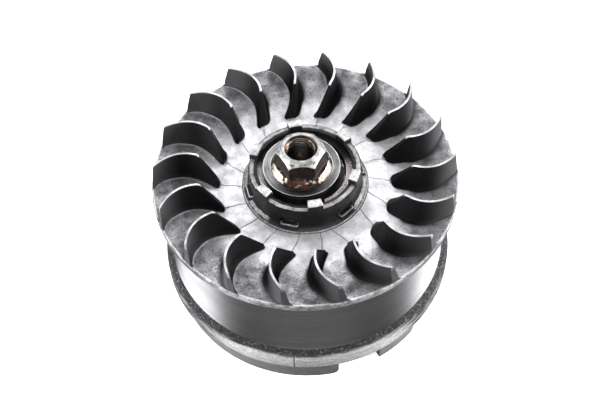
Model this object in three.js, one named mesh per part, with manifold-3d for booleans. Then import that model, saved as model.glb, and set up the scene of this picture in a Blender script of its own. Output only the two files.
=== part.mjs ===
// Fan flywheel of a small two-stroke engine: an aluminium fan casting on a steel hub, a starter dog cup
// with a captive crankshaft nut in the middle, and the magneto's magnet ring in the bell underneath.
// Units are millimetres. +Z is the crankshaft axis and points out of the fan side. The origin is on the
// axis, in the plane of the magnet ring's lower edge.

import * as THREE from "three";
import { mergeVertices } from "three/addons/utils/BufferGeometryUtils.js";
import Module from "manifold-3d";

const wasm = await Module();
wasm.setup();

// ---- driving dimensions ----

const clearance = 0.3; // between neighbours that touch on the real part
const ringSteps = 64; // facets round the large turned shapes
const hubSteps = 40; // facets round the hub's turned shapes

// fan
const fanRadius = 84;
const rimHeight = 84.4; // upper edge of the fan rim
const rimThickness = 4.2;
const dishRadius = 46.2; // where the sloping floor flattens out
const dishHeight = 77.1;
const hubRecessRadius = 35;
const hubRecessHeight = 77.7;
const bladeCount = 18;
const bladeTopHeight = 97.2;
const bladeTopThickness = 1.4;
const bladeFootThickness = 4.6;
const bladeInnerRadius = 47.2;
const bladeShoulderRadius = 58.1; // inner end of the flat machined top edge
const bladeTipRadius = 81.8; // outer end of the blades, turned to a slight cone
const bladeFootRadius = 83.4;
const bladeStations = 12;
const bladeInnerRise = 1.6; // height of the blade's inner end above the floor
const bladeTurningAllowance = 2; // cast length that the turning takes off


// drum and lower flange of the casting
const waistRadius = 77.2;
const waistFootRadius = 78.2; // where it widens to the flange and to the rim
const waistStart = 42; // the straight turned stretch
const waistEnd = 68;
const waistHead = 77.4;
const flangeRadius = 83.2;
const flangeTop = 29.8;
const flangeBottom = 17.2;
const flangeRounding = 1.2;
const rimRounding = 0.5;
const bellRadius = 72; // inside wall of the drum
const bellWallTop = 72;
const bellCeiling = 76;
const bellShoulderRadius = 66; // the ceiling slopes down from here to the boss
const bossRadius = 48;
const bossHeight = 72.5;
const bossFootRadius = 39;
const bossBottom = 66;
const bossBoreGap = 2.6; // round the hub's tube

// magnet ring, magnets and pole shoes
const ringOuterRadius = 79;
const ringInnerRadius = 71.4;
const ringTop = 25.8;
const ringChamfer = 0.6;
const notchTop = 17;
const notchAngles = [-70, -32, 110, 148]; // centres, degrees
const notchWidth = 18.6; // degrees
const poleCount = 6;
const polePhase = -40; // degrees; a gap between poles is behind the first notch
const magnetOuterRadius = 71.1;
const magnetInnerRadius = 65.6;
const magnetSpan = 40; // degrees
const magnetBottom = 3;
const magnetTop = 25;
const shoeInnerRadius = 60.6;
const shoeSpan = 46; // degrees
const screwAngle = 8; // each side of the shoe's middle, degrees
const screwHeight = 21.4; // in the part of the ring above the notches
const screwSteps = 8;
const screwRadius = 2;
const screwHeadRadius = 3.8;
const screwHeadEdge = 0.5; // straight edge above the countersink
const countersinkDepth = 2.3;
const screwSlotWidth = 1.6;
const screwSlotDepth = 1;
const screwSink = 0.4; // below the shoe's face
const screwGrip = 4.6; // into the ring

// starter dog cup
const cupFlangeRadius = 34.6;
const cupWallRadius = 30.7;
const cupBoreRadius = 26;
const cupBottom = 75.5;
const cupTop = 91.4;
const cupFlangeThickness = 2.6;
const cupFootRadius = 33; // the foot of the wall slopes from here up to the wall
const cupFootBottom = 78.9;
const cupFootTop = 83.2;
const cupEdge = 0.6; // chamfer of the rim
const dogCount = 6;
const dogPhase = 39; // degrees
const dogWidth = 15.5; // degrees
const dogTop = 95.8;
const tenonPhase = 12.5; // degrees
const tenonRadius = 31.2;
const tenonLength = 9.8;
const tenonThickness = 3.4;
const tenonTop = 81.4;
const tenonCorner = 1.2;
const mortiseGap = 0.45; // all round the tenon
const grooveBottom = 86.5;
const grooveTop = 89;
const grooveRadius = 27.3;

// hub boss
const hubBottom = 12;
const hubSeat = 81.6; // seat of the captive nut
const hubTubeRadius = 15;
const hubFlangeRadius = 34.2;
const hubFlangeBottom = 71;
const taperBottomRadius = 10.9;
const taperTopRadius = 8.7;
const keywayWidth = 4;
const keywayDepth = 2.4; // beyond the wall of the bore
const registerGap = 0.4; // between the hub's register and the cup's bore
const tenonRoot = 72.5; // inside the hub's flange

// breaker cam on the hub's lower end
const camBottom = 13;
const camTop = 23;
const camRadius = 19.4;
const camFlatDepth = 1.2;
const camPinRadius = 1.5;
const camPinSteps = 12;

// snap ring, washer and captive nut
const snapInnerRadius = 22.7;
const snapOuterRadius = 26.9;
const snapBottom = 86.8;
const snapTop = 88.6;
const snapGap = [-141, -64]; // degrees
const nutOffset = -1.7; // the loose nut lies this far off the axis, along X
const nutBottom = 81.9;
const nutFlangeRadius = 23.9;
const nutFlangeTop = 84.9;
const nutShoulderRadius = 20;
const nutShoulderTop = 90.1;
const nutCollarRadius = 16.5;
const nutCollarTop = 93.4;
const nutAcrossFlats = 24;
const nutConeRadius = 14.2;
const nutConeTop = 96.4;
const nutTop = 107.6;
const nutChamferRadius = 10.6;
const nutChamferDrop = 3.4;
const threadMinorRadius = 7.4;
const threadMouthRadius = 8.9;
const washerOuterRadius = 21.1;
const washerInnerRadius = 16.9;
const washerBottom = 90.4;
const washerTop = 92.6;
const washerChamfer = 0.4;

// ---- materials ----

const finish = (color, roughness, metalness) =>
  new THREE.MeshStandardMaterial({ color, roughness, metalness });
const castAluminium = finish(0x9a9a9c, 0.5, 0.9);
const ringSteel = finish(0x5a5b5d, 0.45, 1);
const magnetAlloy = finish(0x3c3b3c, 0.7, 0.4);
const shoeSteel = finish(0x6b6662, 0.55, 1);
const screwSteel = finish(0x77757a, 0.4, 1);
const darkSteel = finish(0x2c2c2d, 0.45, 1);
const hubSteel = finish(0x4a4846, 0.5, 1);
const nutSteel = finish(0x5d564f, 0.4, 1);
const washerSteel = finish(0x8a898e, 0.35, 1);
const springSteel = finish(0x7a6c68, 0.6, 0.9);

// ---- solids ----

const radians = THREE.MathUtils.degToRad;
const polar = (radius, degrees) => [
  radius * Math.cos(radians(degrees)),
  radius * Math.sin(radians(degrees)),
];

function solid(geometry) {
  const bare = geometry.index ? geometry.toNonIndexed() : geometry.clone();
  bare.deleteAttribute("normal");
  bare.deleteAttribute("uv");
  const merged = mergeVertices(bare, 1e-3);
  return new wasm.Manifold(
    new wasm.Mesh({
      numProp: 3,
      vertProperties: merged.attributes.position.array,
      triVerts: new Uint32Array(merged.index.array),
    }),
  );
}

function geometryOf(body) {
  const mesh = body.getMesh();
  const geometry = new THREE.BufferGeometry();
  geometry.setAttribute(
    "position",
    new THREE.BufferAttribute(mesh.vertProperties, 3),
  );
  geometry.setIndex(new THREE.BufferAttribute(mesh.triVerts, 1));
  geometry.computeVertexNormals();
  return geometry;
}

// A closed [radius, height] profile turned round the Z axis. The profile runs anticlockwise.
function turned(profile, steps) {
  const points = profile.map(([r, z]) => new THREE.Vector2(r, z));
  points.push(points[0].clone());
  return new THREE.LatheGeometry(points, steps).rotateX(Math.PI / 2);
}

// A flat outline pulled up from one height to another.
function raised(shape, bottom, top, curveSegments = 6) {
  const depth = top - bottom;
  const options = { depth, bevelEnabled: false, curveSegments };
  return new THREE.ExtrudeGeometry(shape, options).translate(0, 0, bottom);
}

// A sector of a ring, between two radii and two angles in degrees.
function ringSector(inner, outer, from, to, bottom, top, steps) {
  const shape = new THREE.Shape();
  const angle = (i) => from + ((to - from) * i) / steps;
  for (let i = 0; i <= steps; i++) {
    const [x, y] = polar(outer, angle(i));
    if (i === 0) shape.moveTo(x, y);
    else shape.lineTo(x, y);
  }
  for (let i = steps; i >= 0; i--) shape.lineTo(...polar(inner, angle(i)));
  shape.closePath();
  return raised(shape, bottom, top);
}

// A bar with rounded corners that lies along the tangent at an angle.
function roundedBar(length, width, corner, radius, degrees, bottom, top) {
  const x = length / 2;
  const y = width / 2;
  const shape = new THREE.Shape();
  shape.moveTo(-x + corner, -y);
  shape.lineTo(x - corner, -y);
  shape.absarc(x - corner, -y + corner, corner, -Math.PI / 2, 0);
  shape.lineTo(x, y - corner);
  shape.absarc(x - corner, y - corner, corner, 0, Math.PI / 2);
  shape.lineTo(-x + corner, y);
  shape.absarc(-x + corner, y - corner, corner, Math.PI / 2, Math.PI);
  shape.lineTo(-x, -y + corner);
  shape.absarc(-x + corner, -y + corner, corner, Math.PI, 1.5 * Math.PI);
  return raised(shape, bottom, top, 3)
    .translate(0, -radius, 0)
    .rotateZ(radians(degrees + 90));
}

const flywheel = new THREE.Group();

function place(name, geometry, material, group = flywheel) {
  const mesh = new THREE.Mesh(geometry, material);
  mesh.name = name;
  group.add(mesh);
  return mesh;
}

// ---- fan casting: dished floor, drum, lower flange and the seat for the hub ----

const hubSeatLedge = hubFlangeBottom - clearance;
const bossBoreRadius = hubTubeRadius + bossBoreGap;
const ringSeat = ringTop + clearance;
const rimBottom = rimHeight - rimThickness;
const castingProfile = [
  [bossBoreRadius, bossBottom],
  [bossFootRadius, bossBottom],
  [bossRadius, bossHeight],
  [bellShoulderRadius, bellCeiling],
  [bellRadius, bellWallTop],
  [bellRadius, ringSeat],
  [ringOuterRadius + clearance, ringSeat],
  [ringOuterRadius + clearance, flangeBottom],
  [flangeRadius - flangeRounding, flangeBottom],
  [flangeRadius, flangeBottom + flangeRounding],
  [flangeRadius, flangeTop - 2 * flangeRounding],
  [flangeRadius - flangeRounding, flangeTop - flangeRounding / 3],
  [flangeRadius - 2 * flangeRounding, flangeTop],
  [waistFootRadius + flangeRounding, flangeTop],
  [waistFootRadius, flangeTop + flangeRounding],
  [waistRadius, waistStart],
  [waistRadius, waistEnd],
  [waistFootRadius, waistHead],
  [fanRadius - rimThickness, rimBottom - rimRounding],
  [fanRadius - rimRounding, rimBottom],
  [fanRadius, rimBottom + rimRounding],
  [fanRadius, rimHeight - rimRounding],
  [fanRadius - rimRounding, rimHeight],
  [dishRadius, dishHeight],
  [hubRecessRadius, hubRecessHeight],
  [hubRecessRadius, hubSeatLedge],
  [bossBoreRadius, hubSeatLedge],
];
place("fan_casting", turned(castingProfile, ringSteps), castAluminium);

// ---- fan blades: drafted walls, curved in plan, with a flat top and a sloping inner end ----

// The blade's plan curve bows clockwise: its angle, seen from the axis, against the share of the radius.
function bladeAngle(radius) {
  const share = radius / fanRadius;
  return 99.8 - 43.5 * (share - 0.545) + 157.3 * (share - 0.545) * (share - 0.692);
}

function floorHeight(radius) {
  if (radius <= dishRadius) return dishHeight;
  const slope = (rimHeight - dishHeight) / (fanRadius - rimRounding - dishRadius);
  return dishHeight + slope * (radius - dishRadius);
}

function bladeTop(radius) {
  if (radius >= bladeShoulderRadius) return bladeTopHeight;
  const low = floorHeight(bladeInnerRadius) + bladeInnerRise;
  const share = (radius - bladeInnerRadius) / (bladeShoulderRadius - bladeInnerRadius);
  return low + (bladeTopHeight - low) * share;
}

function bladePoint(radius, side, height) {
  const here = new THREE.Vector2(...polar(radius, bladeAngle(radius)));
  const next = new THREE.Vector2(...polar(radius + 0.1, bladeAngle(radius + 0.1)));
  const along = next.sub(here).normalize();
  const full = (bladeTopHeight - height) / (bladeTopHeight - floorHeight(radius));
  const thickness = THREE.MathUtils.lerp(bladeTopThickness, bladeFootThickness, full);
  const x = here.x - (along.y * side * thickness) / 2;
  const y = here.y + (along.x * side * thickness) / 2;
  return [x, y, height];
}

function castBlade() {
  const points = [];
  const footEnd = bladeFootRadius + bladeTurningAllowance;
  const crestEnd = bladeTipRadius + bladeTurningAllowance;
  for (let i = 0; i < bladeStations; i++) {
    const share = i / (bladeStations - 1);
    const foot = THREE.MathUtils.lerp(bladeInnerRadius, footEnd, share);
    const crest = THREE.MathUtils.lerp(bladeInnerRadius, crestEnd, share);
    for (const side of [1, -1]) {
      const low = bladePoint(foot, side, floorHeight(foot));
      low[2] = floorHeight(Math.hypot(low[0], low[1])) + clearance;
      points.push(low);
      points.push(bladePoint(crest, side, bladeTop(crest)));
    }
  }
  // corners of a station: 0 left foot, 1 left crest, 2 right foot, 3 right crest
  const faces = [
    [0, 3, 1],
    [0, 2, 3],
  ];
  for (let i = 0; i < bladeStations - 1; i++) {
    const a = 4 * i;
    const b = a + 4;
    for (const [p, q] of [
      [0, 1],
      [1, 3],
      [3, 2],
      [2, 0],
    ]) {
      faces.push([a + p, a + q, b + q], [a + p, b + q, b + p]);
    }
  }
  const last = 4 * (bladeStations - 1);
  faces.push([last, last + 1, last + 3], [last, last + 3, last + 2]);
  const geometry = new THREE.BufferGeometry();
  geometry.setAttribute(
    "position",
    new THREE.Float32BufferAttribute(points.flat(), 3),
  );
  geometry.setIndex(faces.flat());
  return geometry;
}

const turnedEnvelope = turned(
  [
    [1, bellCeiling],
    [bladeFootRadius, bellCeiling],
    [bladeFootRadius, rimHeight],
    [bladeTipRadius, bladeTopHeight],
    [bladeTipRadius, bladeTopHeight + 1],
    [1, bladeTopHeight + 1],
  ],
  ringSteps,
);
const blade = geometryOf(solid(castBlade()).intersect(solid(turnedEnvelope)));
for (let i = 0; i < bladeCount; i++) {
  const name = "fan_blade_" + String(i + 1).padStart(2, "0");
  place(name, blade, castAluminium).rotation.z = radians((-360 / bladeCount) * i);
}

// ---- pole screws: countersunk, driven outwards through shoe and magnet into the ring ----

const screwStart = shoeInnerRadius + screwSink;
const screwLength = ringInnerRadius + screwGrip - screwStart;
const screwAngles = { a: -screwAngle, b: screwAngle };
const poleAngle = (i) => polePhase + (360 / poleCount) * i;

// A countersunk screw along +X with a driver slot, its head at the low end.
function screwGeometry() {
  const profile = [
    [0, 0],
    [screwHeadRadius, 0],
    [screwHeadRadius, screwHeadEdge],
    [screwRadius, countersinkDepth],
    [screwRadius, screwLength],
    [0, screwLength],
  ].map(([r, z]) => new THREE.Vector2(r, z));
  const body = new THREE.LatheGeometry(profile, screwSteps).rotateX(Math.PI / 2);
  const slot = new THREE.BoxGeometry(
    screwSlotWidth,
    2 * screwHeadRadius + 1,
    2 * screwSlotDepth,
  );
  return geometryOf(solid(body).subtract(solid(slot))).rotateY(Math.PI / 2);
}

// The hole that a screw takes, with its countersink at the shoe's face.
function screwHole(degrees) {
  const profile = [
    [0, -2],
    [screwHeadRadius + clearance, -2],
    [screwHeadRadius + clearance, screwHeadEdge],
    [screwRadius + clearance, countersinkDepth + clearance],
    [screwRadius + clearance, screwLength + clearance],
    [0, screwLength + clearance],
  ].map(([r, z]) => new THREE.Vector2(r, z));
  const hole = new THREE.LatheGeometry(profile, screwSteps)
    .rotateX(Math.PI / 2)
    .rotateY(Math.PI / 2)
    .translate(screwStart, 0, screwHeight)
    .rotateZ(radians(degrees));
  return solid(hole);
}

// A body with the two screw holes of the pole at an angle taken out of it.
function drilled(body, degrees = 0) {
  const holes = Object.values(screwAngles).map((side) => screwHole(degrees + side));
  return holes.reduce((left, hole) => left.subtract(hole), body);
}

// ---- magnet ring: a steel ring with notches in its lower edge and holes for the pole screws ----

let magnetRing = solid(
  turned(
    [
      [ringInnerRadius, ringChamfer],
      [ringInnerRadius + ringChamfer, 0],
      [ringOuterRadius - ringChamfer, 0],
      [ringOuterRadius, ringChamfer],
      [ringOuterRadius, ringTop],
      [ringInnerRadius, ringTop],
    ],
    ringSteps,
  ),
);
for (const middle of notchAngles) {
  const from = middle - notchWidth / 2;
  const to = middle + notchWidth / 2;
  const notch = ringSector(ringInnerRadius - 3, ringOuterRadius + 3, from, to, -1, notchTop, 6);
  magnetRing = magnetRing.subtract(solid(notch));
}
for (let i = 0; i < poleCount; i++) magnetRing = drilled(magnetRing, poleAngle(i));
place("magnet_ring", geometryOf(magnetRing), ringSteel);

// ---- magnets and pole shoes: arc-shaped blocks, two screws through each pair ----

// A block of the pole, centred on +X.
function poleBlock(inner, outer, span, bottom) {
  return ringSector(inner, outer, -span / 2, span / 2, bottom, magnetTop, 6);
}

const magnetBlock = poleBlock(magnetInnerRadius, magnetOuterRadius, magnetSpan, magnetBottom);
const shoeOuterRadius = magnetInnerRadius - clearance;
const shoeBlock = poleBlock(shoeInnerRadius, shoeOuterRadius, shoeSpan, magnetBottom - 1);
const magnet = geometryOf(drilled(solid(magnetBlock)));
const shoe = geometryOf(drilled(solid(shoeBlock)));
const screw = screwGeometry();

for (let i = 0; i < poleCount; i++) {
  const pole = new THREE.Group();
  pole.rotation.z = radians(poleAngle(i));
  flywheel.add(pole);
  place("magnet_" + (i + 1), magnet, magnetAlloy, pole);
  place("pole_shoe_" + (i + 1), shoe, shoeSteel, pole);
  for (const [side, degrees] of Object.entries(screwAngles)) {
    const fastener = place("pole_screw_" + (i + 1) + side, screw, screwSteel, pole);
    fastener.rotation.z = radians(degrees);
    fastener.position.set(...polar(screwStart, degrees), screwHeight);
  }
}

// ---- starter dog cup: six dogs on the rim, six mortises for the hub's tenons ----

const tenonAngle = (i) => tenonPhase + (360 / dogCount) * i;
let cup = solid(
  turned(
    [
      [cupBoreRadius, cupBottom],
      [cupFlangeRadius, cupBottom],
      [cupFlangeRadius, cupBottom + cupFlangeThickness],
      [cupFootRadius, cupFootBottom],
      [cupWallRadius + cupEdge, tenonTop],
      [cupWallRadius, cupFootTop],
      [cupWallRadius, cupTop - cupEdge],
      [cupWallRadius - cupEdge, cupTop],
      [cupBoreRadius + cupEdge, cupTop],
      [cupBoreRadius, cupTop - cupEdge],
      [cupBoreRadius, grooveTop],
      [grooveRadius, grooveTop],
      [grooveRadius, grooveBottom],
      [cupBoreRadius, grooveBottom],
    ],
    hubSteps,
  ),
);
for (let i = 0; i < dogCount; i++) {
  const middle = dogPhase + (360 / dogCount) * i;
  const dog = ringSector(
    cupBoreRadius + 0.1,
    cupWallRadius - 0.1,
    middle - dogWidth / 2,
    middle + dogWidth / 2,
    cupTop - 1,
    dogTop,
    3,
  );
  cup = cup.add(solid(dog));
}
for (let i = 0; i < dogCount; i++) {
  const mortise = roundedBar(
    tenonLength + 2 * mortiseGap,
    tenonThickness + 2 * mortiseGap,
    tenonCorner + mortiseGap,
    tenonRadius,
    tenonAngle(i),
    cupBottom - 1,
    cupFootTop,
  );
  cup = cup.subtract(solid(mortise));
}
place("starter_dog_cup", geometryOf(cup), darkSteel);

// ---- hub boss: tapered bore with a keyway, a flange under the cup, and the seat of the nut ----

let hub = solid(
  turned(
    [
      [taperBottomRadius, hubBottom],
      [hubTubeRadius, hubBottom],
      [hubTubeRadius, hubFlangeBottom],
      [hubFlangeRadius, hubFlangeBottom],
      [hubFlangeRadius, cupBottom - clearance],
      [cupBoreRadius - registerGap, cupBottom - clearance],
      [cupBoreRadius - registerGap, hubSeat],
      [taperTopRadius, hubSeat],
    ],
    hubSteps,
  ),
);
for (let i = 0; i < dogCount; i++) {
  const tenon = roundedBar(
    tenonLength,
    tenonThickness,
    tenonCorner,
    tenonRadius,
    tenonAngle(i),
    tenonRoot,
    tenonTop,
  );
  hub = hub.add(solid(tenon));
}
const keywayLength = hubFlangeBottom - hubBottom;
const keyway = new THREE.BoxGeometry(keywayWidth, taperBottomRadius + keywayDepth, keywayLength);
keyway.translate(0, (taperBottomRadius + keywayDepth) / 2, hubBottom + keywayLength / 2 - 1);
hub = hub.subtract(solid(keyway));
place("hub_boss", geometryOf(hub), hubSteel);

// ---- breaker cam: a ring with a flat, pinned to the lower end of the hub ----

const camBoreRadius = hubTubeRadius + clearance;
let cam = solid(
  turned(
    [
      [camBoreRadius, camBottom],
      [camRadius, camBottom],
      [camRadius, camTop],
      [camBoreRadius, camTop],
    ],
    hubSteps,
  ),
);
const camMiddle = (camBottom + camTop) / 2;
const camFlat = new THREE.BoxGeometry(camRadius, 2 * camRadius, 2 * camRadius).translate(
  1.5 * camRadius - camFlatDepth,
  0,
  camMiddle,
);
const camPinHole = new THREE.CylinderGeometry(
  camPinRadius + clearance,
  camPinRadius + clearance,
  camRadius,
  camPinSteps,
).translate(0, -camRadius, camMiddle);
cam = cam.subtract(solid(camFlat)).subtract(solid(camPinHole));
place("breaker_cam", geometryOf(cam), hubSteel);

const camPinLength = camRadius - camBoreRadius;
const camPin = new THREE.CylinderGeometry(
  camPinRadius,
  camPinRadius,
  camPinLength,
  camPinSteps,
);
place("cam_pin", camPin, screwSteel).position.set(
  0,
  -(camBoreRadius + camRadius) / 2,
  camMiddle,
);

// ---- snap ring: open spring-steel ring in the cup's groove ----

const snapRing = ringSector(
  snapInnerRadius,
  snapOuterRadius,
  snapGap[1],
  snapGap[0] + 360,
  snapBottom,
  snapTop,
  36,
);
place("snap_ring", snapRing, springSteel);

// ---- captive nut and its washer: loose under the snap ring, a little off the axis ----

const looseParts = new THREE.Group();
looseParts.position.x = nutOffset;
flywheel.add(looseParts);

const washer = turned(
  [
    [washerInnerRadius, washerBottom],
    [washerOuterRadius - washerChamfer, washerBottom],
    [washerOuterRadius, washerBottom + washerChamfer],
    [washerOuterRadius, washerTop - washerChamfer],
    [washerOuterRadius - washerChamfer, washerTop],
    [washerInnerRadius, washerTop],
  ],
  hubSteps,
);
place("nut_washer", washer, washerSteel, looseParts);

const nutBase = solid(
  turned(
    [
      [threadMinorRadius / 2, nutBottom],
      [nutFlangeRadius, nutBottom],
      [nutFlangeRadius, nutFlangeTop],
      [nutShoulderRadius, nutFlangeTop],
      [nutShoulderRadius, nutShoulderTop],
      [nutCollarRadius, nutShoulderTop],
      [nutCollarRadius, nutCollarTop],
      [nutConeRadius, nutConeTop],
      [threadMinorRadius / 2, nutConeTop],
    ],
    hubSteps,
  ),
);
const hexRadius = nutAcrossFlats / 2 / Math.cos(Math.PI / 6);
const chamferBase = hexRadius + 1; // where the chamfer's cone has left the hexagon
const chamferSlope = nutChamferDrop / (hexRadius - nutChamferRadius);
const hexPrism = new THREE.CylinderGeometry(hexRadius, hexRadius, nutTop - nutShoulderTop, 6)
  .rotateX(Math.PI / 2)
  .rotateZ(Math.PI / 2)
  .translate(0, 0, (nutTop + nutShoulderTop) / 2);
const chamferCone = turned(
  [
    [1, nutBottom],
    [chamferBase, nutBottom],
    [chamferBase, nutTop - (chamferBase - nutChamferRadius) * chamferSlope],
    [nutChamferRadius, nutTop],
    [1, nutTop],
  ],
  hubSteps,
);
const threadBore = turned(
  [
    [0, nutBottom - 1],
    [threadMinorRadius, nutBottom - 1],
    [threadMinorRadius, nutTop - (threadMouthRadius - threadMinorRadius)],
    [threadMouthRadius + 1, nutTop + 1],
    [0, nutTop + 1],
  ],
  hubSteps / 2,
);
const nut = nutBase
  .add(solid(hexPrism).intersect(solid(chamferCone)))
  .subtract(solid(threadBore));
place("captive_nut", geometryOf(nut), nutSteel, looseParts);

export default flywheel;
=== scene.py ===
import math
import random

import bpy
import numpy as np
from mathutils import Matrix, Vector


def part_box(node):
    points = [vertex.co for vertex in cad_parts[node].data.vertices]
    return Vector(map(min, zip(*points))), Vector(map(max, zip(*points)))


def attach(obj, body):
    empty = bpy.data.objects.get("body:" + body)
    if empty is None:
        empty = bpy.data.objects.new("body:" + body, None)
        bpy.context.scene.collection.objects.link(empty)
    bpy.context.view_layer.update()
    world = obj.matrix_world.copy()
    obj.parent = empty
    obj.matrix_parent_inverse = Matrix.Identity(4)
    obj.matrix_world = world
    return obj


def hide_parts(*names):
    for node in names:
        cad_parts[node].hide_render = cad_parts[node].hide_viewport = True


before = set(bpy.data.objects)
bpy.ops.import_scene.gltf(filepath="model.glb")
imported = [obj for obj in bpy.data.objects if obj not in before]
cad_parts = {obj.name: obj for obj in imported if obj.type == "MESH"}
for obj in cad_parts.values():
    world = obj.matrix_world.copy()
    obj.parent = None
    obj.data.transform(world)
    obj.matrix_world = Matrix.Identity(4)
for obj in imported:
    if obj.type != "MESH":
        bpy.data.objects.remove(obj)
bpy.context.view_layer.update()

MM = 0.001


# ---- Studio ----
# A pale table top under soft boxes: a large one overhead and behind, one low on each side and a weak
# one in front. The table bounces little light, so that the drum keeps a dark middle between two
# bright stripes.

eye_elevation = math.radians(53.185)
eye_roll = math.radians(-2.372)
eye_distance = 562.2 * MM  # to the middle of the fan's rim, along the view
aim_right = 2.735 * MM  # the rim's middle, right of and below the picture's middle
aim_down = -13.879 * MM
lens_mm = 61.54

rim_middle = Vector((0, 0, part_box("fan_casting")[1].z))
forward = Vector((0, math.cos(eye_elevation), -math.sin(eye_elevation)))
level_right = Vector((1, 0, 0))
level_down = forward.cross(level_right)
roll_cos, roll_sin = math.cos(eye_roll), math.sin(eye_roll)
eye_right = level_right * roll_cos - level_down * roll_sin
eye_down = level_right * roll_sin + level_down * roll_cos
eye = rim_middle - forward * eye_distance - eye_right * aim_right - eye_down * aim_down

camera = bpy.data.objects.new("camera", bpy.data.cameras.new("camera"))
camera.data.lens = lens_mm
camera.data.sensor_width = 36
camera.data.clip_start = 0.01
camera.matrix_world = Matrix(
    (
        (eye_right.x, -eye_down.x, -forward.x, eye.x),
        (eye_right.y, -eye_down.y, -forward.y, eye.y),
        (eye_right.z, -eye_down.z, -forward.z, eye.z),
        (0, 0, 0, 1),
    )
)
bpy.context.scene.collection.objects.link(camera)
bpy.context.scene.camera = camera
bpy.context.scene.view_settings.view_transform = "Standard"


def soft_box(name, place, size, watts, target=(0, 0, 0.07)):
    lamp = bpy.data.lights.new(name, "AREA")
    lamp.shape = "RECTANGLE"
    lamp.size, lamp.size_y = size
    lamp.energy = watts
    box = bpy.data.objects.new(name, lamp)
    box.location = place
    box.rotation_euler = (Vector(target) - Vector(place)).to_track_quat("-Z", "Y").to_euler()
    bpy.context.scene.collection.objects.link(box)


soft_box("box_above", (0.0, 0.58, 0.76), (0.8, 0.55), 8.6)
soft_box("box_left", (-0.74, -0.1, 0.22), (0.5, 0.4), 19)
soft_box("box_right", (0.75, 0.05, 0.22), (0.55, 0.4), 24)
soft_box("box_front", (0.0, -0.6, 0.7), (0.8, 0.4), 4)

world = bpy.data.worlds.new("studio")
bpy.context.scene.world = world
world.use_nodes = True
world.node_tree.nodes["Background"].inputs["Color"].default_value = (1, 1, 1, 1)
world.node_tree.nodes["Background"].inputs["Strength"].default_value = 0.11


def put(tree, kind, inputs=None, **settings):
    """A shader node with its settings, and its inputs set to values or linked from sockets."""
    made = tree.nodes.new("ShaderNode" + kind)
    for key, value in settings.items():
        setattr(made, key, value)
    for key, value in (inputs or {}).items():
        if isinstance(value, bpy.types.NodeSocket):
            tree.links.new(value, made.inputs[key])
        else:
            made.inputs[key].default_value = value
    return made


def math_node(tree, operation, a, b=0.0, clamp=False):
    return put(tree, "Math", {0: a, 1: b}, operation=operation, use_clamp=clamp).outputs[0]


def times(tree, a, b):
    return math_node(tree, "MULTIPLY", a, b)


def ramp(tree, value, low, high):
    """0 below low, 1 above high, smooth between them."""
    inputs = {"Value": value, "From Min": low, "From Max": high}
    made = put(tree, "MapRange", inputs, interpolation_type="SMOOTHSTEP")
    return made.outputs["Result"]


def blend(tree, mask, a, b):
    """Colour a where the mask is 0 and colour b where it is 1."""
    made = put(tree, "Mix", {0: mask}, data_type="RGBA")
    for socket, colour in ((made.inputs[6], a), (made.inputs[7], b)):
        if isinstance(colour, bpy.types.NodeSocket):
            tree.links.new(colour, socket)
        else:
            socket.default_value = (*colour, 1)
    return made.outputs[2]


def new_material(name):
    made = bpy.data.materials.new(name)
    made.use_nodes = True
    return made, made.node_tree


def surface(tree, colour, metallic, roughness, height=None, depth_mm=0.0, specular=0.5):
    """Links or sets what the shader needs. A height gives it a bump of that depth."""
    shader = tree.nodes["Principled BSDF"]
    shader.inputs["Specular IOR Level"].default_value = specular
    for name, value in (("Base Color", colour), ("Metallic", metallic), ("Roughness", roughness)):
        if isinstance(value, bpy.types.NodeSocket):
            tree.links.new(value, shader.inputs[name])
        else:
            shader.inputs[name].default_value = value
    if height:
        made = put(tree, "Bump", {"Height": height, "Distance": depth_mm * MM})
        tree.links.new(made.outputs["Normal"], shader.inputs["Normal"])
    return shader


def mesh_from(name, points, faces, materials=()):
    mesh = bpy.data.meshes.new(name)
    mesh.from_pydata(points, [], faces)
    for material in materials:
        mesh.materials.append(material)
    return mesh


def object_from(mesh):
    made = bpy.data.objects.new(mesh.name, mesh)
    bpy.context.scene.collection.objects.link(made)
    return made


table_material, tree = new_material("table_top")
table_shader = surface(tree, (0.16, 0.16, 0.16, 1), 0.0, 0.7)
table_grain = put(tree, "TexNoise", {"Scale": 60.0, "Detail": 6.0})
pale = blend(tree, ramp(tree, table_grain.outputs["Fac"], 0.2, 0.8), (0.93,) * 3, (0.97,) * 3)
white_lit = put(tree, "BsdfDiffuse", {"Color": pale})
white_glow = put(tree, "Emission", {"Color": (1, 1, 1, 1), "Strength": 0.62})
seen = put(tree, "AddShader", {0: white_lit.outputs[0], 1: white_glow.outputs[0]})
seen_directly = put(tree, "LightPath").outputs["Is Camera Ray"]
sides = {0: seen_directly, 1: table_shader.outputs[0], 2: seen.outputs[0]}
table_mix = put(tree, "MixShader", sides)
tree.links.new(table_mix.outputs[0], tree.nodes["Material Output"].inputs["Surface"])
table_half = 3.0
table_corners = [(x * table_half, y * table_half, 0) for x, y in ((-1, -1), (1, -1), (1, 1), (-1, 1))]
table = object_from(mesh_from("table", table_corners, [(0, 1, 2, 3)], [table_material]))


# ---- Fan casting ----
# One die-cast aluminium piece: the dished disc with its curved blades, the turned drum and the rough
# lower flange. The blade tops and the drum are machined. The rest is as cast, and the blades' sides
# are painted near-black, for soot and painted shade.

blade_count = 18
fan_low, fan_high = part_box("fan_casting")
fan_radius = fan_high.x / MM
rim_height = fan_high.z / MM
flange_bottom = fan_low.z / MM
blade_top_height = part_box("fan_blade_01")[1].z / MM
dish_radius = 46.2
dish_height = 77.1
recess_radius = 35.0
recess_height = 77.7
blade_nose_radius = 47.3
blade_nose_rise = 1.7
blade_shoulder_radius = 58.1
blade_top_width = 1.25
blade_foot_width = 4.6
blade_end_top = 81.8
blade_end_foot = 83.4
foot_fillet = 2.6
rng = random.Random(4)


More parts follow.
